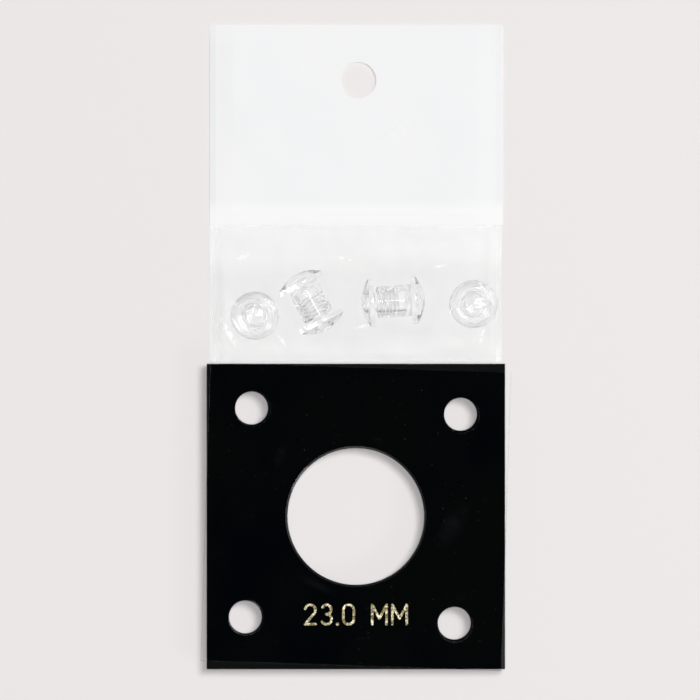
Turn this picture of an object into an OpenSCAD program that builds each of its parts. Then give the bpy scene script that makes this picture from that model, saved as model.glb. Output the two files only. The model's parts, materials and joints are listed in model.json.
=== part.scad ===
// Square coin holder: a black coin plate between two clear covers, taken off its screws and laid
// flat, with its two-part clear screws lying on the emptied header bag beyond the plates' top edge.
// Millimetres. X is across the plates, Y runs towards the bag, Z is up. The origin is the middle of
// the rear cover's back face.

/* [Plates] */
// Width of the black coin plate, along X
plate_w = 50.8; // [44:0.1:70]
// Height of the black coin plate, along Y
plate_h = 52; // [44:0.1:70]
// Width of each clear cover, along X
cover_w = 51.2; // [44:0.1:70]
// Height of each clear cover, along Y
cover_h = 50.8; // [44:0.1:70]
// Thickness of each clear cover
cover_t = 2; // [1.2:0.05:4]
// Thickness of the black coin plate
coin_plate_t = 2.35; // [1.2:0.05:5]
// Air between two plates that lie loose on each other
plate_gap = 0.05; // [0.04:0.01:0.3]
// Turn of the front cover on the loose stack, in degrees
front_cover_turn = -1.9; // [-3:0.1:3]
// Offset of the front cover's holes from the black plate's, along X
front_cover_x = 0.15; // [-0.25:0.05:0.25]
// Offset of the front cover's holes from the black plate's, along Y
front_cover_y = -0.15; // [-0.25:0.05:0.25]
// Turn of the rear cover under the loose stack, in degrees
rear_cover_turn = -1.7; // [-3:0.1:3]
// Bevel at the rims of all the holes in the plates
rim_bevel = 0.2; // [0.05:0.05:0.5]

/* [Coin pocket] */
// Diameter of the coin
coin_d = 23; // [15:0.1:32]
// Play of the coin in its pocket, on the diameter
coin_play = 0.3; // [0.1:0.05:1]

/* [Screw holes] */
// Diameter of the corner holes in the black plate, which guide the posts
hole_d = 5.6; // [5:0.1:8]
// How much wider the corner holes are in the covers
cover_hole_extra = 0.4; // [0:0.05:1]
// Side of the square that the corner holes stand on
hole_pitch = 35.6; // [32:0.1:40]
// Turn of that square on the black plate, in degrees; the covers are drilled square to their sides
hole_turn = -1.7; // [-3:0.1:3]
// Offset of that square along X
hole_shift_x = -0.5; // [-1:0.05:1]
// Offset of that square along Y
hole_shift_y = 0.15; // [-1:0.05:1]

/* [Size mark] */
// Height of the stamped characters
mark_h = 3.3; // [2:0.1:4]
// Width of the characters' strokes
mark_stroke = 0.42; // [0.25:0.01:0.6]
// Thickness of the stamped foil
foil_t = 0.02; // [0.01:0.01:0.03]
// Distance from the pocket's middle down to the mark's middle
mark_drop = 16.7; // [15:0.1:19]

/* [Screw sets] */
// Diameter of the domed heads
head_d = 8.2; // [7:0.1:10]
// Thickness of a head, over its dome
head_t = 2.2; // [1.6:0.05:3]
// Thickness of a head at its rim
head_rim_t = 0.75; // [0.4:0.05:1.2]
// Width of the driver slot
slot_w = 1.05; // [0.6:0.05:1.6]
// Depth of the driver slot
slot_depth = 0.95; // [0.5:0.05:1.3]
// Play of a post in the black plate's corner holes, on the diameter
post_play = 0.2; // [0.1:0.05:0.6]
// Gap between a post's end and the screw's head when the plates are clamped
clamp_gap = 0.45; // [0.2:0.05:0.8]
// Length of a screw's threaded shaft
shaft_l = 4.4; // [3:0.1:5.5]
// Diameter over the screw's thread
thread_d = 3.2; // [2.4:0.1:3.8]
// Pitch of the thread
thread_pitch = 0.635; // [0.5:0.005:0.8]
// Depth of the thread, on the radius
thread_depth = 0.32; // [0.15:0.01:0.4]
// Play of the screw in its post, on the diameter
thread_play = 0.14; // [0.06:0.02:0.3]

/* [Header bag] */
// Width of the flat bag
bag_w = 49.8; // [44:0.1:60]
// Height of the white header band
header_h = 34.1; // [25:0.1:45]
// Height of the clear pocket below the header
pocket_h = 23.3; // [22:0.1:40]
// Thickness of each of the bag's two films
film_t = 0.1; // [0.05:0.01:0.2]
// Gap between the plates' furthest reach and the bag
bag_gap = 0.2; // [0.1:0.05:1]
// Gap between the bag and the screw sets that lie on it
set_gap = 0.1; // [0.05:0.05:0.3]
// Distance from the bag's left edge to the first set's head
left_margin = 3.6; // [0:0.1:5]
// Distance from the bag's right edge to the last set's head
right_margin = 0.8; // [0:0.1:2]
// Diameter of the hang hole
hang_hole_d = 6.2; // [4:0.1:10]
// Distance from the header's top edge to the hang hole's middle
hang_hole_drop = 9.4; // [7:0.1:15]
// Offset of the hang hole along X
hang_hole_shift = 0.35; // [-2:0.05:2]

/* [Hidden] */
$fn = 96;
cut = 1;

// Heights in the stack of plates
coin_plate_z = cover_t + plate_gap;
front_cover_z = coin_plate_z + coin_plate_t + plate_gap;
stack_t = front_cover_z + cover_t;

pocket_d = coin_d + coin_play;
cover_hole_d = hole_d + cover_hole_extra;
hole_places = [for (x = [-1, 1], y = [-1, 1]) [x, y] * hole_pitch / 2];
hole_middle = [hole_shift_x, hole_shift_y];

// How far a cover reaches along Y when it lies turned
function reach_y(turn) = (cover_h * cos(turn) + cover_w * abs(sin(turn))) / 2;

// The bag, from the plates' furthest reach on
bag_t = 2 * film_t;
pocket_y = max(plate_h / 2, reach_y(rear_cover_turn)) + bag_gap;
header_y = pocket_y + pocket_h;

// The screw sets
barrel_d = hole_d - post_play;
dome_t = head_t - head_rim_t;
dome_r = (head_d * head_d / 4 + dome_t * dome_t) / (2 * dome_t);
thread_r = thread_d / 2;
thread_turns = floor(shaft_l / thread_pitch);
bore_r = thread_r + thread_play / 2;
bore_end = clamp_gap + shaft_l + thread_pitch;

// Each set's place: X, Y from the pocket's lower edge, tilt from upright, turn, and its two slots' turns
SETS = [
    [-bag_w / 2 + left_margin + head_d / 2, 7.8, 0, 0, 20, 78],
    [-7.6, 10.1, 90, 118, 30, 65],
    [6.3, 10.3, 90, 4, 15, 50],
    [bag_w / 2 - right_margin - head_d / 2, 9.8, 0, 0, 60, 2],
];

// Proportions of the stamped characters
digit_w = 0.54 * mark_h;
digit_r = digit_w / 2;
letter_w = 0.74 * mark_h;
letter_dip = 0.3 * mark_h;
upper_r = 0.24 * mark_h;
lower_r = mark_h / 2 - upper_r;
char_gap = 0.3 * mark_h;
word_gap = 0.95 * mark_h;
point_d = 1.3 * mark_stroke;
sector_steps = 8;

// A hole right through a plate of thickness t, with bevelled rims
module through_hole(d, t) {
    translate([0, 0, -cut]) cylinder(d = d, h = t + 2 * cut);
    translate([0, 0, -rim_bevel]) cylinder(d1 = d + 4 * rim_bevel, d2 = d, h = 2 * rim_bevel);
    translate([0, 0, t - rim_bevel]) cylinder(d1 = d, d2 = d + 4 * rim_bevel, h = 2 * rim_bevel);
}

// Corner holes of diameter d through thickness t, on a square with its middle at m
module corner_holes(d, t, m, turn) {
    translate([m.x, m.y, 0]) rotate(turn)
        for (p = hole_places) translate([p.x, p.y, 0]) through_hole(d, t);
}

// A clear cover that lies turned on the stack, with the square of its holes turned with it about m
module cover(turn, m) {
    difference() {
        rotate(turn) translate([-cover_w / 2, -cover_h / 2, 0]) cube([cover_w, cover_h, cover_t]);
        corner_holes(cover_hole_d, cover_t, m, turn);
    }
}

module rear_cover() {
    color([0.86, 0.92, 0.94, 0.4]) cover(rear_cover_turn, hole_middle);
}

module coin_plate() {
    color([0.03, 0.03, 0.035]) translate([0, 0, coin_plate_z]) difference() {
        translate([-plate_w / 2, -plate_h / 2, 0]) cube([plate_w, plate_h, coin_plate_t]);
        corner_holes(hole_d, coin_plate_t, hole_middle, hole_turn);
        through_hole(pocket_d, coin_plate_t);
    }
}

module front_cover() {
    color([0.86, 0.92, 0.94, 0.4]) translate([0, 0, front_cover_z])
        cover(front_cover_turn, hole_middle + [front_cover_x, front_cover_y]);
}

// A straight stroke with round ends, from a to b
module stroke(a, b) {
    run = b - a;
    translate(a) rotate(atan2(run.y, run.x)) {
        translate([0, -mark_stroke / 2]) square([norm(run), mark_stroke]);
        circle(d = mark_stroke, $fn = 24);
        translate([norm(run), 0]) circle(d = mark_stroke, $fn = 24);
    }
}

// A round stroke with round ends, about c, from one angle to another
module arc_stroke(c, r, from, to) {
    reach = 2 * r;
    step = (to - from) / sector_steps;
    sector = [for (i = [0 : sector_steps]) reach * [cos(from + i * step), sin(from + i * step)]];
    translate(c) {
        intersection() {
            difference() {
                circle(r = r + mark_stroke / 2);
                circle(r = r - mark_stroke / 2);
            }
            polygon(concat([[0, 0]], sector));
        }
        for (a = [from, to]) translate(r * [cos(a), sin(a)]) circle(d = mark_stroke, $fn = 24);
    }
}

// The characters stand on y = 0
module digit_two() {
    top = [digit_r, mark_h - digit_r];
    leave = -35;
    arc_stroke(top, digit_r, leave, 165);
    stroke(top + digit_r * [cos(leave), sin(leave)], [0, 0]);
    stroke([0, 0], [digit_w, 0]);
}

module digit_three() {
    arc_stroke([digit_r, mark_h - upper_r], upper_r, -90, 150);
    arc_stroke([digit_r, lower_r], lower_r, -150, 90);
}

module digit_zero() {
    arc_stroke([digit_r, mark_h - digit_r], digit_r, 0, 180);
    arc_stroke([digit_r, digit_r], digit_r, 180, 360);
    for (x = [0, digit_w]) stroke([x, digit_r], [x, mark_h - digit_r]);
}

module letter_m() {
    for (x = [0, letter_w]) {
        stroke([x, 0], [x, mark_h]);
        stroke([x, mark_h], [letter_w / 2, letter_dip]);
    }
}

// A plain measure in millimetres, stamped on the coin plate's front
module size_mark() {
    step = digit_w + char_gap;
    point_x = 2 * step;
    letters_x = point_x + char_gap + digit_w + word_gap;
    mark_w = letters_x + 2 * letter_w + char_gap;
    color([0.85, 0.7, 0.36]) translate([-mark_w / 2, -mark_drop - mark_h / 2, coin_plate_z + coin_plate_t])
        linear_extrude(foil_t) {
            digit_two();
            translate([step, 0]) digit_three();
            translate([point_x, 0]) circle(d = point_d, $fn = 24);
            translate([point_x + char_gap, 0]) digit_zero();
            translate([letters_x, 0]) letter_m();
            translate([letters_x + letter_w + char_gap, 0]) letter_m();
        }
}

// A domed head with its flat side on z = 0 and its slot across the top
module slotted_head(slot_turn) {
    difference() {
        intersection() {
            cylinder(d = head_d, h = head_t);
            translate([0, 0, head_t - dome_r]) sphere(r = dome_r);
        }
        rotate(slot_turn) translate([-head_d, -slot_w / 2, head_t - slot_depth])
            cube([2 * head_d, slot_w, head_t]);
    }
}

// Puts a set's upright shape, whose screw head sits on z = 0, in its place on the bag
module in_place(set) {
    lies = set[2] == 90;
    middle_z = bag_t + set_gap + (lies ? head_d / 2 : head_t + stack_t / 2);
    translate([set[0], pocket_y + set[1], middle_z]) rotate([0, set[2], set[3]])
        translate([0, 0, -stack_t / 2]) children();
}

// The male half: head below, shaft up, its thread as rings of the right pitch
module screw(set) {
    root_r = thread_r - thread_depth;
    ridges = [for (i = [0 : thread_turns - 1], half = [0, 1])
        [half == 0 ? root_r : thread_r, (i + half / 2) * thread_pitch]];
    top = [[root_r, thread_turns * thread_pitch], [root_r, shaft_l], [0, shaft_l]];
    color([0.9, 0.94, 0.96, 0.45]) in_place(set) {
        mirror([0, 0, 1]) slotted_head(set[4]);
        rotate_extrude() polygon(concat([[0, -head_rim_t / 2], [root_r, -head_rim_t / 2]], ridges, top));
    }
}

// The female half: head on top, barrel down, with ring grooves in its bore
module post(set) {
    groove_r = bore_r + thread_depth;
    grooves = [for (i = [0 : thread_turns - 1], half = [0, 1])
        [half == 0 ? bore_r : groove_r, clamp_gap + (i + half / 2) * thread_pitch]];
    end = [[bore_r, clamp_gap + thread_turns * thread_pitch], [bore_r, bore_end], [0, bore_end + bore_r / 2]];
    color([0.9, 0.94, 0.96, 0.45]) in_place(set) difference() {
        union() {
            translate([0, 0, stack_t]) slotted_head(set[5]);
            translate([0, 0, clamp_gap]) cylinder(d = barrel_d, h = stack_t - clamp_gap + head_rim_t / 2);
        }
        rotate_extrude() polygon(concat([[0, clamp_gap - cut], [bore_r, clamp_gap - cut]], grooves, end));
    }
}

module bag_header() {
    hole_y = header_y + header_h - hang_hole_drop;
    color([0.96, 0.97, 0.97]) difference() {
        translate([-bag_w / 2, header_y, 0]) cube([bag_w, header_h, bag_t]);
        translate([hang_hole_shift, hole_y, -cut]) cylinder(d = hang_hole_d, h = bag_t + 2 * cut);
    }
}

module film(z) {
    color([0.93, 0.95, 0.95, 0.3]) translate([-bag_w / 2, pocket_y, z]) cube([bag_w, pocket_h, film_t]);
}

module bag_front() {
    film(film_t);
}

module bag_back() {
    film(0);
}

rear_cover();
coin_plate();
size_mark();
front_cover();
for (i = [0 : len(SETS) - 1]) {
    screw(SETS[i]);
    post(SETS[i]);
}
bag_header();
bag_front();
bag_back();
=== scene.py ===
import json
import math

import bmesh
import bpy
from mathutils import Matrix, Vector, noise


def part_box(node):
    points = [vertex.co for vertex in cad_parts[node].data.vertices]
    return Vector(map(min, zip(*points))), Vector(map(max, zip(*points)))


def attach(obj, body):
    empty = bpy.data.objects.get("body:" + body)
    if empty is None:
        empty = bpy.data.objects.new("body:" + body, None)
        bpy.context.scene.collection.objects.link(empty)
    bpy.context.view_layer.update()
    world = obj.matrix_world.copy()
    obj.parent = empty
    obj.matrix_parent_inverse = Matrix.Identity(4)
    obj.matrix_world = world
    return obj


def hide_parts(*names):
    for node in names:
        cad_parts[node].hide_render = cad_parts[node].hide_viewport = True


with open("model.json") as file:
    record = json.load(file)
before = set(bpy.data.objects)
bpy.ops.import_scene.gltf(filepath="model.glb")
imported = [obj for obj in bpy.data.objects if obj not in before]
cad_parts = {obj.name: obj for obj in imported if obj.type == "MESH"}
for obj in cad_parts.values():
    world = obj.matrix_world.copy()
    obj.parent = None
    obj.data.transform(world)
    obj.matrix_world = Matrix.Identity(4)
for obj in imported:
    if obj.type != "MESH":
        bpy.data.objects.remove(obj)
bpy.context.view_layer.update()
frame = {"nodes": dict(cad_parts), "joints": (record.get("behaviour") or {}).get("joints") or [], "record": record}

MM = 0.001

# Places and sizes that the frame gives
plate_low, plate_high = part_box("coin_plate")
header_low, header_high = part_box("bag_header")
film_low, film_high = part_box("bag_front")
mounts = {m["name"]: m for m in frame["record"]["mounts"]}
joints = {j["name"]: j for j in frame["joints"]}
plate_w = plate_high.x - plate_low.x
plate_h = plate_high.y - plate_low.y
stack_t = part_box("front_cover")[1].z
pocket_r = mounts["coin_pocket"]["dims"]["r_mm"] * MM
hole_r = mounts["screw_holes"]["dims"]["hole_r_mm"] * MM
hole_circle_r = mounts["screw_holes"]["dims"]["pcd_mm"] / 2 * MM
hole_middle = Vector(mounts["screw_holes"]["pos_m"])
hang_hole = Vector(mounts["hang_hole"]["pos_m"])
hang_hole_r = mounts["hang_hole"]["dims"]["r_mm"] * MM
post_travel = joints["post_1_travel"]["range_m"][1]

# Plates: the covers' size and wider holes, how plates and holes lie turned in degrees, and the pocket's rims
COVER_W = 51.2 * MM
COVER_H = 50.8 * MM
COVER_HOLE_R = hole_r + 0.2 * MM
FRONT_TURN = -1.9
FRONT_SHIFT = Vector((0.15 * MM, -0.15 * MM, 0))
REAR_TURN = -1.7
HOLE_TURN = -1.7
RIM_W = 0.34 * MM
RIM_DEPTH = 0.17 * MM
PLATE_EDGE = 0.14 * MM
DRILL_L = 30 * MM
HOLE_SIDES = 96

# Screw sets, with the turn of the screw's and the post's slot in degrees
HEAD_R = 4.1 * MM
HEAD_T = 2.2 * MM
HEAD_RIM = 0.75 * MM
HEAD_EDGE = 0.1 * MM
DOME_T = HEAD_T - HEAD_RIM
DOME_R = (HEAD_R ** 2 + DOME_T ** 2) / (2 * DOME_T)
DOME_STEPS = 14
SLOT_W = 1.05 * MM
SLOT_DEPTH = 0.95 * MM
SLOT_CORNER = 0.18 * MM
SLOT_TURNS = [(20, 78), (30, 65), (15, 50), (60, 2)]
CLAMP_GAP = 0.45 * MM
BARREL_R = 2.7 * MM
BARREL_BEAD = 0.22 * MM
BARREL_FILLET = 0.12 * MM
PITCH = 0.635 * MM
THREAD_R = 1.6 * MM
THREAD_DEPTH = 0.32 * MM
THREAD_STEPS = 48
SHAFT_L = 4.4 * MM
LEAD_IN = 0.45 * MM
BORE_R = 1.67 * MM
BORE_END = CLAMP_GAP + SHAFT_L + PITCH
BORE_MOUTH = 0.25 * MM
TAPPED_TURNS = 6
AROUND = 128
SEAM = 1e-7

# Bag
FILM_T = 0.06 * MM
FILM_GRID = 0.3 * MM
FRONT_FILM_Z = 0.1 * MM
HEADER_T = 0.16 * MM
HEADER_GRID = 0.36 * MM
WELD_W = 1.0 * MM
BEAD_W = 0.14 * MM
BEAD_H = 0.05 * MM

# Creases from the middle of a sheet's lower edge: start, end, width and height in millimetres
POCKET_CREASES = [
    ((-23, 21.6), (20, 22.2), 1.3, 0.13), ((-21, 19.2), (4, 20.3), 1.7, 0.15),
    ((2, 18.2), (23, 19.4), 1.5, 0.14), ((-23.5, 16.4), (-13, 17.6), 1.2, 0.1),
    ((9, 16.6), (22, 17.3), 1.2, 0.1), ((-23.3, 3), (-22.2, 14), 1.1, 0.12),
    ((23.2, 2), (23.5, 20), 0.9, 0.1), ((-19, 1.6), (-4, 1.1), 1.3, 0.11),
    ((-1, 1.5), (14, 1.0), 1.1, 0.1), ((13, 2.2), (21.5, 3.4), 1.3, 0.12),
    ((-22, 13.5), (-17, 16.5), 1.0, 0.09), ((12.5, 4), (14.5, 9.5), 1.0, 0.09),
]
HEADER_CREASES = [
    ((3, 13.5), (8.5, 17.8), 0.35, 0.12), ((7.4, 16.2), (8.2, 14.6), 0.3, 0.08),
    ((-24, 2.4), (24, 2.1), 0.4, 0.08), ((-24, 0.9), (24, 0.9), 0.3, 0.06),
]

# Finger smears on the black plate and painted glints (painted highlights) on the films: x, y, turn in degrees, and
# reach along and across, with places and reaches in millimetres
SMEARS = [(-12.9, 10.4, 70, 2.4, 1.1), (-6.4, -11.8, -25, 4.5, 0.9), (16.5, -1.5, 60, 5, 2.2)]
PAINTED_GLINTS = [
    (-21.7, 31.4, -64, 3.2, 0.6), (-12.7, 30.1, -50, 1.6, 0.4), (-19.3, 44.3, 20, 1.3, 0.4),
    (21.6, 30.9, 72, 1.7, 0.4), (1.2, 32.4, 12, 1.8, 0.35), (14.4, 42.6, 8, 1.5, 0.3),
    (-1.8, 43.9, -14, 1.4, 0.3),
]


# Ways of working

def start_clean():
    if bpy.context.object and bpy.context.object.mode != "OBJECT":
        bpy.ops.object.mode_set(mode="OBJECT")
    bpy.ops.object.select_all(action="DESELECT")


def take(piece):
    start_clean()
    piece.select_set(True)
    bpy.context.view_layer.objects.active = piece


def added(name):
    """The piece in hand, named and with its place in its mesh."""
    piece = bpy.context.object
    piece.name = name
    piece.data.name = name
    bpy.ops.object.transform_apply(location=True, rotation=True, scale=True)
    return piece


def apply_modifier(piece, kind, **settings):
    take(piece)
    step = piece.modifiers.new(kind.lower(), kind)
    for key, value in settings.items():
        setattr(step, key, value)
    bpy.ops.object.modifier_apply(modifier=step.name)


def carve(piece, tool, operation="DIFFERENCE"):
    apply_modifier(piece, "BOOLEAN", object=tool, operation=operation, solver="EXACT")
    bpy.data.objects.remove(tool)


def pick_edges(piece, test):
    take(piece)
    bpy.ops.object.mode_set(mode="EDIT")
    bpy.ops.mesh.select_mode(type="EDGE")
    bpy.ops.mesh.select_all(action="DESELECT")
    mesh = bmesh.from_edit_mesh(piece.data)
    for edge in mesh.edges:
        edge.select_set(test(edge))
    mesh.select_flush_mode()
    bmesh.update_edit_mesh(piece.data)


def close_seams():
    bpy.ops.mesh.select_all(action="SELECT")
    bpy.ops.mesh.remove_doubles(threshold=SEAM)
    bpy.ops.mesh.normals_make_consistent(inside=False)
    bpy.ops.object.mode_set(mode="OBJECT")


def soften(piece, width, angle, segments=2):
    apply_modifier(piece, "BEVEL", width=width, segments=segments, limit_method="ANGLE",
                   angle_limit=math.radians(angle), use_clamp_overlap=True)


def smooth(piece, angle=35):
    take(piece)
    bpy.ops.object.shade_smooth_by_angle(angle=math.radians(angle))


def outline(name, points):
    """A chain of edges through points of radius and height."""
    start_clean()
    bpy.ops.mesh.primitive_plane_add(size=MM, location=(points[0][0], 0, points[0][1]))
    piece = added(name)
    bpy.ops.object.mode_set(mode="EDIT")
    bpy.ops.mesh.select_mode(type="VERT")
    bpy.ops.mesh.select_all(action="SELECT")
    bpy.ops.mesh.merge(type="CENTER")
    for (r0, z0), (r1, z1) in zip(points, points[1:]):
        bpy.ops.mesh.extrude_vertices_move(TRANSFORM_OT_translate={"value": (r1 - r0, 0, z1 - z0)})
    return piece


def turned(name, points):
    """A solid of revolution about Z."""
    piece = outline(name, points)
    bpy.ops.mesh.select_all(action="SELECT")
    bpy.ops.mesh.spin(steps=AROUND, angle=2 * math.pi, center=(0, 0, 0), axis=(0, 0, 1))
    close_seams()
    return piece


def threaded_rod(name, root_r, crest_r, low, high):
    """A right-hand thread wound from one tooth, cut square at both ends."""
    foot, crest_start, crest_end = 0.12 * PITCH, 0.44 * PITCH, 0.62 * PITCH
    tooth = [(root_r, 0), (root_r, foot), (crest_r, crest_start), (crest_r, crest_end), (root_r, PITCH)]
    first = low - PITCH
    piece = outline(name, [(r, z + first) for r, z in tooth])
    bpy.ops.object.mode_set(mode="OBJECT")
    turns = math.ceil((high - first) / PITCH) + 1
    apply_modifier(piece, "SCREW", angle=2 * math.pi, screw_offset=PITCH, iterations=turns,
                   steps=THREAD_STEPS, render_steps=THREAD_STEPS, axis="Z")
    bpy.ops.object.mode_set(mode="EDIT")
    bpy.ops.mesh.select_all(action="SELECT")
    bpy.ops.mesh.remove_doubles(threshold=SEAM)
    bpy.ops.mesh.select_all(action="SELECT")
    bpy.ops.mesh.bisect(plane_co=(0, 0, low), plane_no=(0, 0, 1), threshold=SEAM,
                        use_fill=True, clear_inner=True)
    bpy.ops.mesh.select_all(action="SELECT")
    bpy.ops.mesh.bisect(plane_co=(0, 0, high), plane_no=(0, 0, 1), threshold=SEAM,
                        use_fill=True, clear_outer=True)
    close_seams()
    return piece


# Nodes

def node(tree, kind, inputs=None, **settings):
    new = tree.nodes.new("ShaderNode" + kind)
    for key, value in settings.items():
        setattr(new, key, value)
    for socket, value in (inputs or {}).items():
        if isinstance(value, bpy.types.NodeSocket):
            tree.links.new(value, new.inputs[socket])
        else:
            new.inputs[socket].default_value = value
    return new


def calc(tree, operation, a, b=0.0):
    return node(tree, "Math", {0: a, 1: b}, operation=operation).outputs[0]


def plus(tree, a, b):
    return calc(tree, "ADD", a, b)


def times(tree, a, b):
    return calc(tree, "MULTIPLY", a, b)


def greater(tree, a, b):
    return calc(tree, "MAXIMUM", a, b)


def spread(tree, value, low, high, to_low=0.0, to_high=1.0):
    """The value between low and high, mapped to its place between the other two."""
    return node(tree, "MapRange", {"Value": value, "From Min": low, "From Max": high,
                                   "To Min": to_low, "To Max": to_high}).outputs["Result"]


def blend_colour(tree, share, first, second):
    return node(tree, "Mix", {0: share, 6: first, 7: second}, data_type="RGBA").outputs[2]


def parts_of(tree, vector):
    return node(tree, "SeparateXYZ", {0: vector}).outputs


def on_piece(tree):
    """The place on the piece, in metres of the shared frame."""
    return node(tree, "TexCoord").outputs["Object"]


def cloudy(tree, point, scale, detail=4.0):
    return node(tree, "TexNoise", {"Vector": point, "Scale": scale, "Detail": detail}).outputs["Fac"]


def stretched(tree, point, turn, scale):
    """Coordinates turned about Z, then scaled apart along the axes."""
    spun = node(tree, "Mapping", {"Vector": point, "Rotation": (0, 0, math.radians(turn))})
    return node(tree, "Mapping", {"Vector": spun.outputs[0], "Scale": scale}).outputs[0]


def hairlines(tree, point, turn, along, across, share):
    lines = cloudy(tree, stretched(tree, point, turn, (along, across, along)), 1.0, 2.0)
    return spread(tree, lines, share, share + 0.05)


def specks(tree, point, scale, reach, share):
    """Round spots of the given reach in the cells whose own number is above the share."""
    cells = node(tree, "TexVoronoi", {"Vector": point, "Scale": scale})
    cell_number = node(tree, "SeparateColor", {0: cells.outputs["Color"]}).outputs[0]
    chosen = calc(tree, "GREATER_THAN", cell_number, share)
    return times(tree, spread(tree, cells.outputs["Distance"], reach, reach * 0.4), chosen)


def soft_patch(tree, point, x, y, turn, length, width):
    """1 in the middle of a long soft spot on a flat piece, 0 past its ends."""
    spot = node(tree, "Mapping", {"Vector": point, "Location": (x * MM, y * MM, 0),
                                  "Rotation": (0, 0, math.radians(turn)),
                                  "Scale": (length * MM, width * MM, 1)}, vector_type="TEXTURE")
    flat = node(tree, "VectorMath", {0: spot.outputs[0], 1: (1, 1, 0)}, operation="MULTIPLY").outputs[0]
    away = node(tree, "VectorMath", {0: flat}, operation="LENGTH").outputs["Value"]
    return spread(tree, away, 1.0, 0.25)


def patches(tree, point, places):
    shares = [soft_patch(tree, point, *place) for place in places]
    most = shares[0]
    for share in shares[1:]:
        most = greater(tree, most, share)
    return most


def new_material(name):
    mat = bpy.data.materials.new(name)
    mat.use_nodes = True
    mat.node_tree.nodes.clear()
    return mat, mat.node_tree


def bumped(tree, height, strength, depth):
    return node(tree, "Bump", {"Height": height, "Strength": strength, "Distance": depth}).outputs[0]


def plastic(tree, colour, rough, bump, constants):
    inputs = {"Base Color": colour, "Roughness": rough, "Normal": bump, **constants}
    return node(tree, "BsdfPrincipled", inputs).outputs[0]


def see_through(tree, tint):
    return node(tree, "BsdfTransparent", {"Color": tint}).outputs[0]


def blend_shaders(tree, share, first, second):
    return node(tree, "MixShader", {0: share, 1: first, 2: second}).outputs[0]


def let_lamps_through(tree, shader, tint):
    """Clear plastic for the eye, a plain tint for light on its way to a matt surface."""
    rays = node(tree, "LightPath").outputs
    clear = see_through(tree, tint)
    seen = blend_shaders(tree, rays["Is Diffuse Ray"], shader, clear)
    return blend_shaders(tree, rays["Is Shadow Ray"], seen, clear)


def to_surface(tree, shader):
    node(tree, "OutputMaterial", {"Surface": shader})


# Finishes

WHITE = (1, 1, 1, 1)
ACRYLIC_IOR = 1.49
FILM_IOR = 1.5


def sawn_share(tree):
    """1 on the upright sides of a flat plate, 0 on its faces."""
    up = parts_of(tree, node(tree, "TexCoord").outputs["Normal"])["Z"]
    return spread(tree, calc(tree, "ABSOLUTE", up), 0.6, 0.3)


def bare_rim_light_band(tree, point):
    """Level of the pale band on the black rim that the turned front cover leaves bare, 0 under the cover, with
    painted light making it lighter towards the right.
    """
    aside = parts_of(tree, stretched(tree, point, -FRONT_TURN, (1, 1, 1)))
    soft = 0.1 * MM
    beside = spread(tree, calc(tree, "ABSOLUTE", aside["X"]), COVER_W / 2 - soft, COVER_W / 2 + soft)
    beyond = spread(tree, calc(tree, "ABSOLUTE", aside["Y"]), COVER_H / 2 - soft, COVER_H / 2 + soft)
    # Painted light: the bare rim grows lighter towards the right, the side the lamps stand on
    painted_light_to_right = spread(tree, aside["X"], -20 * MM, 20 * MM, 0.16, 1.0)
    return greater(tree, times(tree, beside, painted_light_to_right), times(tree, beyond, 0.15))


def black_acrylic():
    """Polished black sheet with fine scratches, dust and finger smears."""
    mat, tree = new_material("black_acrylic")
    point = on_piece(tree)
    black = (0.0006, 0.0013, 0.0021, 1)
    pale_black = (0.0019, 0.0025, 0.0024, 1)
    smear_grey = (0.008, 0.0095, 0.01, 1)
    dust_grey = (0.016, 0.018, 0.016, 1)
    scratch_grey = (0.016, 0.017, 0.015, 1)
    rim_light_grey = (0.03, 0.031, 0.03, 1)

    cloud = cloudy(tree, point, 70.0, 5.0)
    sawn = sawn_share(tree)
    scratches = greater(tree, hairlines(tree, point, 24, 280, 6200, 0.72),
                        hairlines(tree, point, -58, 330, 6800, 0.73))
    dust = greater(tree, specks(tree, point, 900.0, 0.08, 0.55),
                   specks(tree, stretched(tree, point, 63, (520, 1700, 500)), 1.0, 0.1, 0.62))
    dust = times(tree, dust, spread(tree, cloud, 0.4, 0.6, 0.35, 1.0))
    streaks = spread(tree, cloudy(tree, stretched(tree, point, 40, (200, 700, 200)), 1.0), 0.25, 0.8)
    smears = times(tree, patches(tree, point, SMEARS), streaks)

    colour = blend_colour(tree, spread(tree, cloud, 0.35, 0.65), black, pale_black)
    colour = blend_colour(tree, times(tree, smears, 0.7), colour, smear_grey)
    colour = blend_colour(tree, times(tree, dust, 0.7), colour, dust_grey)
    colour = blend_colour(tree, times(tree, scratches, 0.3), colour, scratch_grey)
    # Pale bare rim, with painted light lighter towards the right
    colour = blend_colour(tree, bare_rim_light_band(tree, point), colour, rim_light_grey)
    polish = spread(tree, cloud, 0.3, 0.8, 0.015, 0.035)
    rough = greater(tree, greater(tree, polish, times(tree, dust, 0.3)), times(tree, sawn, 0.3))
    saw_marks = cloudy(tree, stretched(tree, point, 0, (300, 300, 6000)), 1.0)
    relief = plus(tree, times(tree, saw_marks, sawn), times(tree, scratches, -0.08))
    bump = bumped(tree, relief, 0.3, 0.03 * MM)
    to_surface(tree, plastic(tree, colour, rough, bump, {"IOR": ACRYLIC_IOR}))
    return mat


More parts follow.
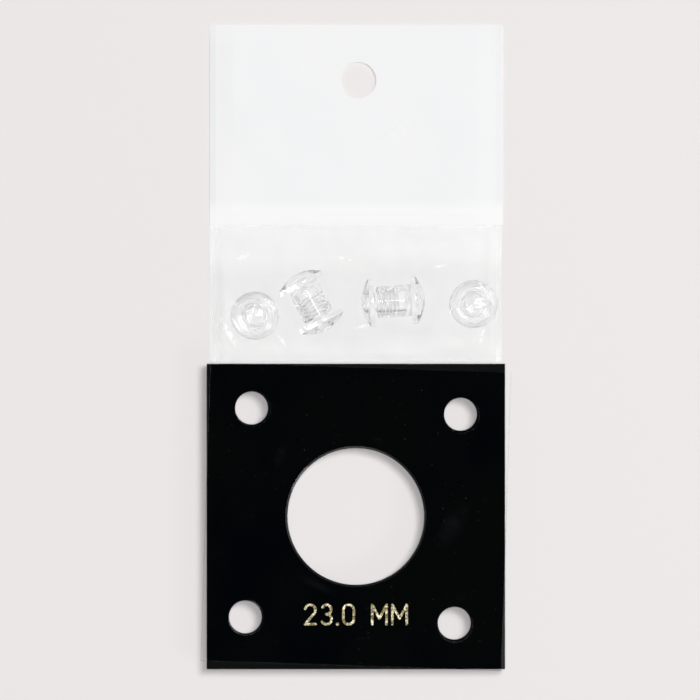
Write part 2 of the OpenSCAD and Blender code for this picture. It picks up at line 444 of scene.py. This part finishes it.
def clear_acrylic():
    """An unbent view and a share of gloss on the flat faces, glass on the sawn edges and in the holes."""
    mat, tree = new_material("clear_acrylic")
    point = on_piece(tree)
    sawn = sawn_share(tree)
    smudge = cloudy(tree, point, 90.0, 5.0)
    scratches = hairlines(tree, point, 41, 110, 2800, 0.72)
    polish = spread(tree, smudge, 0.35, 0.8, 0.0, 0.025)
    rough = greater(tree, polish, times(tree, sawn, 0.18))
    saw_marks = cloudy(tree, stretched(tree, point, 0, (350, 350, 5000)), 1.0)
    relief = plus(tree, times(tree, saw_marks, sawn), times(tree, scratches, -0.12))
    bump = bumped(tree, relief, 0.3, 0.03 * MM)

    tint = blend_colour(tree, smudge, (0.97, 0.985, 0.98, 1), (0.94, 0.97, 0.965, 1))
    edge = plastic(tree, tint, rough, bump, {"IOR": ACRYLIC_IOR, "Transmission Weight": 1.0})
    slant = node(tree, "LayerWeight", {"Blend": 0.5}).outputs["Facing"]
    gloss = plus(tree, spread(tree, slant, 0.02, 0.3, 0.0, 0.015),
                 times(tree, calc(tree, "POWER", slant, 5.0), 0.9))
    mirror = node(tree, "BsdfGlossy", {"Color": WHITE, "Roughness": rough, "Normal": bump}).outputs[0]
    face = blend_shaders(tree, gloss, see_through(tree, WHITE), mirror)
    sheet = blend_shaders(tree, sawn, face, edge)
    to_surface(tree, let_lamps_through(tree, sheet, WHITE))
    return mat


def clear_screw():
    """Moulded clear plastic with faint flow marks."""
    mat, tree = new_material("clear_screw")
    point = on_piece(tree)
    flow = cloudy(tree, point, 420.0, 3.0)
    haze = cloudy(tree, point, 160.0, 4.0)
    colour = blend_colour(tree, spread(tree, haze, 0.3, 0.75), WHITE, (0.992, 0.995, 0.998, 1))
    rough = spread(tree, haze, 0.3, 0.8, 0.015, 0.07)
    bump = bumped(tree, flow, 0.12, 0.05 * MM)
    shader = plastic(tree, colour, rough, bump, {"IOR": 1.45, "Transmission Weight": 0.94})
    to_surface(tree, let_lamps_through(tree, shader, (0.995, 0.995, 0.996, 1)))
    return mat


def gold_foil():
    """Hot-stamped foil, broken up by the grain of the plate under it."""
    mat, tree = new_material("gold_foil")
    point = on_piece(tree)
    dull_gold = (0.26, 0.21, 0.08, 1)
    bright_gold = (0.92, 0.85, 0.60, 1)
    gap_brown = (0.05, 0.04, 0.02, 1)
    patch = cloudy(tree, point, 1150.0, 3.0)
    grain = cloudy(tree, point, 4200.0, 3.0)
    colour = blend_colour(tree, spread(tree, patch, 0.4, 0.6), dull_gold, bright_gold)
    colour = blend_colour(tree, spread(tree, grain, 0.49, 0.6), colour, gap_brown)
    rough = spread(tree, grain, 0.3, 0.7, 0.45, 0.65)
    bump = bumped(tree, grain, 0.6, 0.04 * MM)
    to_surface(tree, plastic(tree, colour, rough, bump, {"Metallic": 0.6}))
    return mat


def weld_share(tree, point):
    """1 along the two side welds of the bag, 0 between them."""
    across = calc(tree, "ABSOLUTE", parts_of(tree, point)["X"])
    edge = film_high.x - WELD_W
    soft = 0.1 * MM
    return spread(tree, across, edge - soft, edge + soft)


def white_film():
    """Smooth white film, greyer along the welds and whiter along its lower edge."""
    mat, tree = new_material("white_film")
    point = on_piece(tree)
    grey_white = (0.87, 0.875, 0.882, 1)
    film_white = (0.90, 0.90, 0.908, 1)
    weld_grey = (0.82, 0.83, 0.84, 1)
    lower_band_white = (0.935, 0.935, 0.94, 1)
    cloud = cloudy(tree, point, 45.0, 3.0)
    grain = cloudy(tree, point, 2600.0, 2.0)
    weld = weld_share(tree, point)
    up = parts_of(tree, point)["Y"]
    lower_band = spread(tree, up, header_low.y + 4.5 * MM, header_low.y + 2.5 * MM)
    colour = blend_colour(tree, spread(tree, cloud, 0.35, 0.7), grey_white, film_white)
    colour = blend_colour(tree, times(tree, weld, 0.5), colour, weld_grey)
    colour = blend_colour(tree, lower_band, colour, lower_band_white)
    rough = spread(tree, grain, 0.3, 0.7, 0.56, 0.66)
    bump = bumped(tree, grain, 0.06, 0.05 * MM)
    to_surface(tree, plastic(tree, colour, rough, bump, {"IOR": FILM_IOR}))
    return mat


def clear_film():
    """Thin clear film with a pale haze, a painted shade of a bulging pocket over its middle, and painted glints.
    """
    mat, tree = new_material("clear_film")
    point = on_piece(tree)
    bulge_shade_grey = (0.77, 0.775, 0.775, 1)
    painted_glint_white = (0.99, 0.99, 0.99, 1)
    cloud = cloudy(tree, point, 60.0, 4.0)
    grain = cloudy(tree, point, 3000.0, 2.0)
    weld = weld_share(tree, point)
    # Painted shade: greyer over the pocket's middle, where a bulging pocket would shade the film
    up = plus(tree, parts_of(tree, point)["Y"], spread(tree, cloud, 0, 1, -2.5 * MM, 2.5 * MM))
    painted_bulge_shade = times(tree, spread(tree, up, film_low.y + 2 * MM, film_low.y + 4.5 * MM),
                  spread(tree, up, film_low.y + 18 * MM, film_low.y + 15 * MM))
    # Painted glints: whiter, hazier spots on the film that stand for highlights on its creases
    broken = spread(tree, cloudy(tree, point, 800.0, 3.0), 0.36, 0.56)
    painted_glints = times(tree, patches(tree, point, PAINTED_GLINTS), broken)

    colour = blend_colour(tree, cloud, (0.87, 0.88, 0.875, 1), (0.90, 0.90, 0.905, 1))
    colour = blend_colour(tree, times(tree, painted_bulge_shade, 0.62), colour, bulge_shade_grey)
    colour = blend_colour(tree, painted_glints, colour, painted_glint_white)
    rough = spread(tree, grain, 0.3, 0.7, 0.36, 0.48)
    bump = bumped(tree, grain, 0.05, 0.05 * MM)
    milky = plastic(tree, colour, rough, bump, {"IOR": FILM_IOR})
    haze = spread(tree, cloud, 0.1, 0.9, 0.28, 0.36)
    haze = plus(tree, haze, times(tree, weld, 0.12))
    haze = plus(tree, haze, times(tree, painted_glints, 0.4))
    sheet = blend_shaders(tree, haze, see_through(tree, WHITE), milky)
    to_surface(tree, let_lamps_through(tree, sheet, (0.995, 0.995, 0.995, 1)))
    return mat


# Plates

def corner_holes(middle, turn):
    """Middles of the four corner holes on their turned square."""
    spots = []
    for quarter in range(4):
        angle = math.radians(45 + 90 * quarter + turn)
        spots.append((middle.x + hole_circle_r * math.cos(angle),
                      middle.y + hole_circle_r * math.sin(angle)))
    return spots


def drill(piece, x, y, radius):
    start_clean()
    bpy.ops.mesh.primitive_cylinder_add(vertices=HOLE_SIDES, radius=radius, depth=DRILL_L, location=(x, y, 0))
    carve(piece, added("drill"))


def sawn_plate(name, cad_node, width, height, turn, holes, corner_r):
    """A plate sawn to size, turned on the stack and drilled at its corners."""
    low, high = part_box(cad_node)
    start_clean()
    bpy.ops.mesh.primitive_cube_add(size=1, location=(0, 0, (low.z + high.z) / 2),
                                    rotation=(0, 0, math.radians(turn)),
                                    scale=(width, height, high.z - low.z))
    piece = added(name)
    for x, y in holes:
        drill(piece, x, y, corner_r)
    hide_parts(cad_node)
    return piece


def bore_pocket(piece):
    """The round coin pocket, with shallow flared rims."""
    low, high = plate_low.z, plate_high.z
    past = 0.1 * MM
    flare_r = pocket_r + (RIM_DEPTH + past) * RIM_W / RIM_DEPTH
    cutter = turned("pocket_cutter", [(0, low - past), (flare_r, low - past), (pocket_r, low + RIM_DEPTH),
                                      (pocket_r, high - RIM_DEPTH), (flare_r, high + past),
                                      (0, high + past)])
    carve(piece, cutter)


def polished(piece):
    soften(piece, PLATE_EDGE, 70, 5)
    smooth(piece, 22)
    apply_modifier(piece, "WEIGHTED_NORMAL", mode="FACE_AREA", keep_sharp=True)
    return piece


# Screw sets

def dome_points():
    """From the rim of a head over its dome to the axis, from the head's flat side up."""
    reach = math.asin(HEAD_R / DOME_R)
    drop = HEAD_T - DOME_R
    angles = [reach * (1 - step / DOME_STEPS) for step in range(DOME_STEPS + 1)]
    return [(HEAD_R, 0.0)] + [(DOME_R * math.sin(a), drop + DOME_R * math.cos(a)) for a in angles]


def cut_slot(piece, top_z):
    """A screwdriver slot across a head, with round corners along its floor."""
    start_clean()
    bpy.ops.mesh.primitive_cube_add(size=1, location=(0, 0, top_z - SLOT_DEPTH + HEAD_T / 2),
                                    scale=(4 * HEAD_R, SLOT_W, HEAD_T))
    tool = added("slot_tool")

    def along_floor(edge):
        start, end = (v.co for v in edge.verts)
        return start.z < top_z and end.z < top_z and abs(start.y - end.y) < SLOT_W / 2

    pick_edges(tool, along_floor)
    bpy.ops.mesh.bevel(offset=SLOT_CORNER, segments=3, affect="EDGES")
    bpy.ops.object.mode_set(mode="OBJECT")
    carve(piece, tool)


def screw_pattern():
    """The male half: head turned downwards, threaded shaft up."""
    piece = turned("screw_pattern", [(0.0, 0.0)] + dome_points())
    cut_slot(piece, HEAD_T)
    soften(piece, HEAD_EDGE, 40)
    piece.rotation_euler.x = math.pi
    take(piece)
    bpy.ops.object.transform_apply(location=True, rotation=True, scale=True)
    root_r = THREAD_R - THREAD_DEPTH
    sunk = 0.4 * MM
    shaft = threaded_rod("shaft", root_r, THREAD_R, -sunk, SHAFT_L)
    wide_r = 1.2 * THREAD_R
    tip_r = root_r - 0.12 * MM
    tip_z = SHAFT_L - 0.02 * MM
    lead_in = turned("lead_in", [(0, -MM), (wide_r, -MM), (wide_r, SHAFT_L - LEAD_IN),
                                 (tip_r, tip_z), (0, tip_z)])
    carve(shaft, lead_in, "INTERSECT")
    carve(piece, shaft, "UNION")
    smooth(piece)
    return piece


def post_pattern():
    """The female half: head up, threaded barrel down."""
    head = [(r, stack_t + z) for r, z in dome_points()]
    barrel = [(0, CLAMP_GAP), (BARREL_R - BARREL_BEAD, CLAMP_GAP), (BARREL_R, CLAMP_GAP + BARREL_BEAD),
              (BARREL_R, stack_t - BARREL_FILLET), (BARREL_R + BARREL_FILLET, stack_t)]
    piece = turned("post_pattern", barrel + head)
    cut_slot(piece, stack_t + HEAD_T)
    soften(piece, HEAD_EDGE, 40)
    tap = threaded_rod("tap", BORE_R - 0.08 * MM, BORE_R + THREAD_DEPTH, CLAMP_GAP - 0.5 * MM,
                       CLAMP_GAP + TAPPED_TURNS * PITCH)
    drill_end = turned("drill_end", [(0, CLAMP_GAP - MM), (BORE_R + 2 * BORE_MOUTH, CLAMP_GAP - BORE_MOUTH),
                                     (BORE_R, CLAMP_GAP + BORE_MOUTH), (BORE_R, BORE_END),
                                     (0, BORE_END + BORE_R / 2)])
    carve(piece, tap)
    carve(piece, drill_end)
    smooth(piece)
    return piece


def set_axis(number):
    """Middle and axis of a screw set."""
    middle = Vector(joints[f"screw_{number}_turn"]["pos_m"])
    axis = Vector(joints[f"post_{number}_travel"]["axis"])
    return middle, axis


def stands(axis):
    return abs(axis.z) > 0.5


def set_place(number):
    """Matrix that takes an upright set from the stack to where it stands or lies on the bag."""
    middle, axis = set_axis(number)
    lean = Matrix.Identity(4)
    if not stands(axis):
        lean = Matrix.Rotation(math.atan2(axis.y, axis.x), 4, "Z") @ Matrix.Rotation(math.pi / 2, 4, "Y")
    return Matrix.Translation(middle) @ lean @ Matrix.Translation((0, 0, -stack_t / 2))


def copied(pattern, name, place):
    piece = pattern.copy()
    piece.data = pattern.data.copy()
    bpy.context.collection.objects.link(piece)
    piece.matrix_world = place
    take(piece)
    return added(name)


# Bag

def limited(value):
    """The value kept between 0 and 1."""
    return min(1.0, max(0.0, value))


def room_above(x, y):
    """Height over the floor that a film may reach under the screw sets and their travel."""
    room = 5 * MM
    beside = 0.3 * MM
    spare = 0.06 * MM
    for number in range(1, len(SLOT_TURNS) + 1):
        middle, axis = set_axis(number)
        aside = Vector((x - middle.x, y - middle.y))
        if stands(axis):
            r = aside.length
            if r < HEAD_R + beside:
                fall = DOME_R - math.sqrt(DOME_R ** 2 - min(r, HEAD_R) ** 2)
                room = min(room, middle.z - stack_t / 2 - HEAD_T + fall)
        else:
            along = aside.x * axis.x + aside.y * axis.y
            across = abs(aside.x * axis.y - aside.y * axis.x)
            end = stack_t / 2 + HEAD_T + beside
            if -end < along < end + post_travel and across < HEAD_R:
                room = min(room, middle.z - math.sqrt(HEAD_R ** 2 - across ** 2))
    return room - spare


def ridge(x, y, start, end, width, height):
    """Height of a soft crease from start to end, all in millimetres."""
    a, b, p = Vector(start), Vector(end), Vector((x, y))
    run = b - a
    t = limited((p - a).dot(run) / run.length_squared)
    away = (p - a - run * t).length
    taper = math.sin(math.pi * (0.12 + 0.76 * t))
    return height * taper * math.exp(-(away / width) ** 2)


def weld_bead(x, half_w):
    """Height of the bead along the inner side of a weld."""
    return BEAD_H * math.exp(-((abs(x) - half_w + WELD_W) / BEAD_W) ** 2)


def back_height(x, y):
    return 0.012 * MM * (1 + noise.noise(Vector((x / MM * 0.3, y / MM * 0.3, 7.7))))


def front_height(x, y):
    """Creases of the front film, flat at the welds and the header, and clear of the screw sets."""
    u, v = x / MM, (y - film_low.y) / MM
    lift = sum(ridge(u, v, *crease) for crease in POCKET_CREASES)
    lift += 0.05 + 0.05 * noise.noise(Vector((u * 0.35, v * 0.35, 3.1)))
    from_weld = (film_high.x - WELD_W - abs(x)) / (1.2 * MM)
    from_header = (film_high.y - y) / (0.8 * MM)
    lift *= limited(from_weld) * limited(from_header)
    return min(lift * MM + weld_bead(x, film_high.x), room_above(x, y) - 0.1 * MM)


def header_height(x, y):
    """Gentle waves of the header, pressed flat along its edges."""
    u, v = x / MM, (y - header_low.y) / MM
    wave = noise.noise(Vector((u * 0.06, v * 0.075, 1.4)))
    wave += 0.35 * noise.noise(Vector((u * 0.17, v * 0.15, 4.2)))
    lift = 0.22 * (wave + 1.35)
    lift += sum(ridge(u, v, *crease) for crease in HEADER_CREASES)
    for reach in (v, (header_high.y - y) / MM, (header_high.x - abs(x)) / MM):
        lift *= 0.15 + 0.85 * limited(reach / 4.0)
    return lift * MM + weld_bead(x, header_high.x)


def sheet_grid(name, low, high, pitch):
    """A flat grid over a CAD film's outline."""
    width, length = high.x - low.x, high.y - low.y
    start_clean()
    bpy.ops.mesh.primitive_grid_add(x_subdivisions=round(width / pitch), y_subdivisions=round(length / pitch),
                                    size=1, location=((low.x + high.x) / 2, (low.y + high.y) / 2, 0))
    bpy.context.object.scale = (width, length, 1)
    return added(name)


def raised(piece, lowest, height, thickness):
    """Lifts a flat grid to its height and gives it its thickness."""
    for v in piece.data.vertices:
        v.co.z = lowest + height(v.co.x, v.co.y)
    apply_modifier(piece, "SOLIDIFY", thickness=thickness, offset=1.0)


def pocket_film(name, cad_node, lowest, height):
    piece = sheet_grid(name, film_low, film_high, FILM_GRID)
    raised(piece, lowest, height, FILM_T)
    smooth(piece, 60)
    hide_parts(cad_node)
    return piece


def header_sheet():
    piece = sheet_grid("header", header_low, header_high, HEADER_GRID)
    raised(piece, 0.0, header_height, HEADER_T)
    drill(piece, hang_hole.x, hang_hole.y, hang_hole_r)
    smooth(piece, 60)
    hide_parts("bag_header")
    return piece


# Making the object

def dressed(piece, mat, body):
    piece.data.materials.clear()
    piece.data.materials.append(mat)
    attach(piece, body)
    return piece


sheet_black, sheet_clear = black_acrylic(), clear_acrylic()
back_plate = sawn_plate("back_plate", "rear_cover", COVER_W, COVER_H, REAR_TURN,
                        corner_holes(hole_middle, REAR_TURN), COVER_HOLE_R)
middle_plate = sawn_plate("middle_plate", "coin_plate", plate_w, plate_h, 0,
                          corner_holes(hole_middle, HOLE_TURN), hole_r)
bore_pocket(middle_plate)
front_plate = sawn_plate("front_plate", "front_cover", COVER_W, COVER_H, FRONT_TURN,
                         corner_holes(hole_middle + FRONT_SHIFT, FRONT_TURN), COVER_HOLE_R)
dressed(polished(back_plate), sheet_clear, "rear_cover")
dressed(polished(middle_plate), sheet_black, "coin_plate")
dressed(polished(front_plate), sheet_clear, "front_cover")

mark = frame["nodes"]["size_mark"]
mark.data.materials.clear()
mark.data.materials.append(gold_foil())

moulded = clear_screw()
male, female = screw_pattern(), post_pattern()
for number, slot_turns in enumerate(SLOT_TURNS, 1):
    halves = ((male, "screw"), (female, "post"))
    for (pattern, half), slot_turn in zip(halves, slot_turns):
        place = set_place(number) @ Matrix.Rotation(math.radians(slot_turn), 4, "Z")
        piece = copied(pattern, f"clear_{half}_{number}", place)
        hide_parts(f"{half}_{number}")
        dressed(piece, moulded, f"{half}_{number}")
for pattern in (male, female):
    bpy.data.objects.remove(pattern)

film = clear_film()
header = dressed(header_sheet(), white_film(), "bag")
back = pocket_film("pocket_back", "bag_back", 0.0, back_height)
front = pocket_film("pocket_front", "bag_front", FRONT_FILM_Z, front_height)
for sheet in (back, front):
    dressed(sheet, film, "bag")


# Floor, light and camera

LAMP_AIM = Vector((0, 20 * MM, 0))


def floor():
    start_clean()
    bpy.ops.mesh.primitive_plane_add(size=6, location=(0, 0, -0.02 * MM))
    piece = added("floor")
    mat, tree = new_material("floor_paper")
    paper = node(tree, "BsdfPrincipled", {"Base Color": (0.846, 0.807, 0.807, 1), "Roughness": 0.9,
                                          "Specular IOR Level": 0.1})
    to_surface(tree, paper.outputs[0])
    piece.data.materials.append(mat)


def area_lamp(name, spot, size, power, mirrored=True):
    lamp = bpy.data.lights.new(name, "AREA")
    lamp.shape = "DISK"
    lamp.size = size
    lamp.energy = power
    holder = bpy.data.objects.new(name, lamp)
    bpy.context.collection.objects.link(holder)
    holder.visible_glossy = holder.visible_transmission = mirrored
    holder.location = spot
    holder.rotation_euler = (LAMP_AIM - Vector(spot)).to_track_quat("-Z", "Y").to_euler()


def sky():
    """Faint fill, pale walls and a dark ceiling in polished faces, pale all round through clear plastic."""
    world = bpy.data.worlds.new("studio")
    bpy.context.scene.world = world
    world.use_nodes = True
    tree = world.node_tree
    tree.nodes.clear()
    way = node(tree, "TexCoord").outputs["Generated"]
    height = parts_of(tree, way)["Z"]
    bright_side = (0.71, -0.70, 0)
    sideways = node(tree, "VectorMath", {0: way, 1: bright_side}, operation="DOT_PRODUCT").outputs["Value"]
    wall_level = spread(tree, height, 0.80, 0.965, 1.0, 0.004)
    wall_level = times(tree, wall_level, spread(tree, sideways, 0.1, 0.45, 0.4, 1.4))
    wall_level = times(tree, wall_level, spread(tree, height, 0.3, 0.55, 0.22, 1.0))
    walls = node(tree, "Background", {"Color": (0.9, 0.89, 0.89, 1), "Strength": wall_level}).outputs[0]
    around = node(tree, "Background", {"Color": (0.78, 0.775, 0.785, 1), "Strength": 1.0}).outputs[0]
    light = node(tree, "Background", {"Color": WHITE, "Strength": 0.06}).outputs[0]
    rays = node(tree, "LightPath").outputs
    for kind, seen in (("Camera", around), ("Glossy", walls), ("Transmission", around)):
        light = blend_shaders(tree, rays[f"Is {kind} Ray"], light, seen)
    node(tree, "OutputWorld", {"Surface": light})


def camera():
    """Straight above, so far that the view is nearly without perspective."""
    view_middle = Vector((-1.0 * MM, 28.35 * MM))
    view_width = 119.1 * MM
    distance = 2.4
    data = bpy.data.cameras.new("camera")
    data.sensor_width = 36
    data.lens = data.sensor_width * (distance - stack_t) / view_width
    holder = bpy.data.objects.new("camera", data)
    bpy.context.collection.objects.link(holder)
    holder.location = (view_middle.x, view_middle.y, distance)
    bpy.context.scene.camera = holder


floor()
area_lamp("key_lamp", spot=(0.517, 0.39, 2.0), size=0.7, power=22.5)
area_lamp("top_lamp", spot=(0, 20 * MM, 3.0), size=0.3, power=38, mirrored=False)
area_lamp("side_lamp", spot=(0.8, -0.56, 0.72), size=0.4, power=0.9)
sky()
camera()
bpy.context.scene.view_settings.view_transform = "Standard"
light_paths = bpy.context.scene.cycles
light_paths.max_bounces = light_paths.transmission_bounces = light_paths.transparent_max_bounces = 32
light_paths.glossy_bounces = 12
